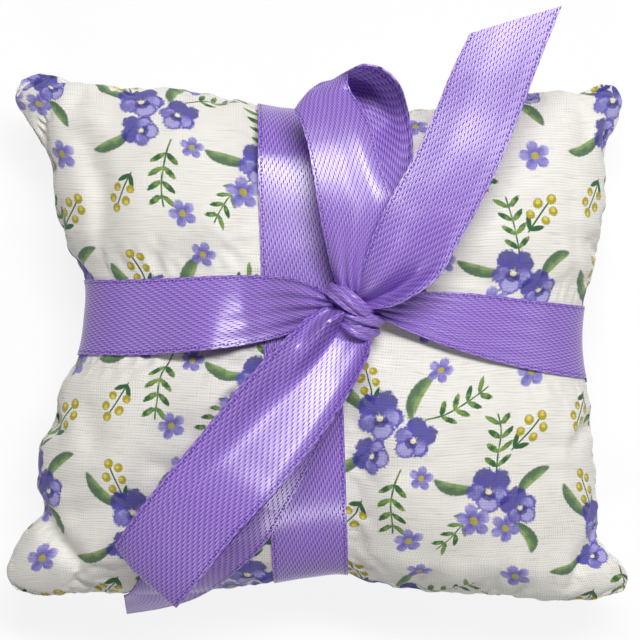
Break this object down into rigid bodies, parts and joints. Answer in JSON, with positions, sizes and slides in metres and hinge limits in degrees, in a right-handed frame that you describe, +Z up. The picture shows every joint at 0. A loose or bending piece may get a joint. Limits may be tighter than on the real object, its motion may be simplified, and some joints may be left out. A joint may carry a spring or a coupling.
{
  "type": "lavender sachet",
  "caption": "Small stuffed cotton pillow of dried lavender, drawn in at its sides by a satin ribbon tied crosswise, with a bow on its crown.",
  "frame": {"origin": "on the surface the sachet lies on, under the middle of the pillow", "axes": "+Z up through the crown and the bow, +X along the pillow's long side, +Y along its short side towards the bow's standing loop"},
  "size_m": [0.0959, 0.0973, 0.0395],
  "materials": {
    "printed_cotton": "plain woven cream cotton with a small flower and leaf print",
    "dried_lavender": "loose dried flower buds",
    "satin_ribbon": "woven satin, soft sheen"
  },
  "bodies": {
    "pillow": {"front_panel": "printed_cotton", "back_panel": "printed_cotton", "lavender_filling": "dried_lavender", "upright_band": "satin_ribbon", "across_band": "satin_ribbon", "bow_knot": "satin_ribbon"},
    "upper_loop": {"upper_loop": "satin_ribbon"},
    "upper_tail": {"upper_tail": "satin_ribbon"},
    "lower_tail": {"lower_tail": "satin_ribbon"},
    "lower_loop": {"lower_loop": "satin_ribbon"}
  },
  "joints": [
    {"name": "upper_loop_lift", "type": "hinge", "parent": "pillow", "child": "upper_loop", "pos_m": [0.005, 0.0087, 0.03348], "axis": [1, 0, 0], "range_deg": [0, 40]},
    {"name": "upper_tail_lift", "type": "hinge", "parent": "upper_loop", "child": "upper_tail", "pos_m": [0.0079, 0.0075, 0.03488], "axis": [0.766, -0.6428, 0], "range_deg": [0, 45]},
    {"name": "lower_tail_lift", "type": "hinge", "parent": "pillow", "child": "lower_tail", "pos_m": [0.0026, 0.0001, 0.0345], "axis": [-0.766, 0.6428, 0], "range_deg": [0, 40]},
    {"name": "lower_loop_lift", "type": "hinge", "parent": "lower_tail", "child": "lower_loop", "pos_m": [0.0026, 0.0001, 0.0345], "axis": [-0.766, 0.6428, 0], "range_deg": [0, 45]}
  ]
}
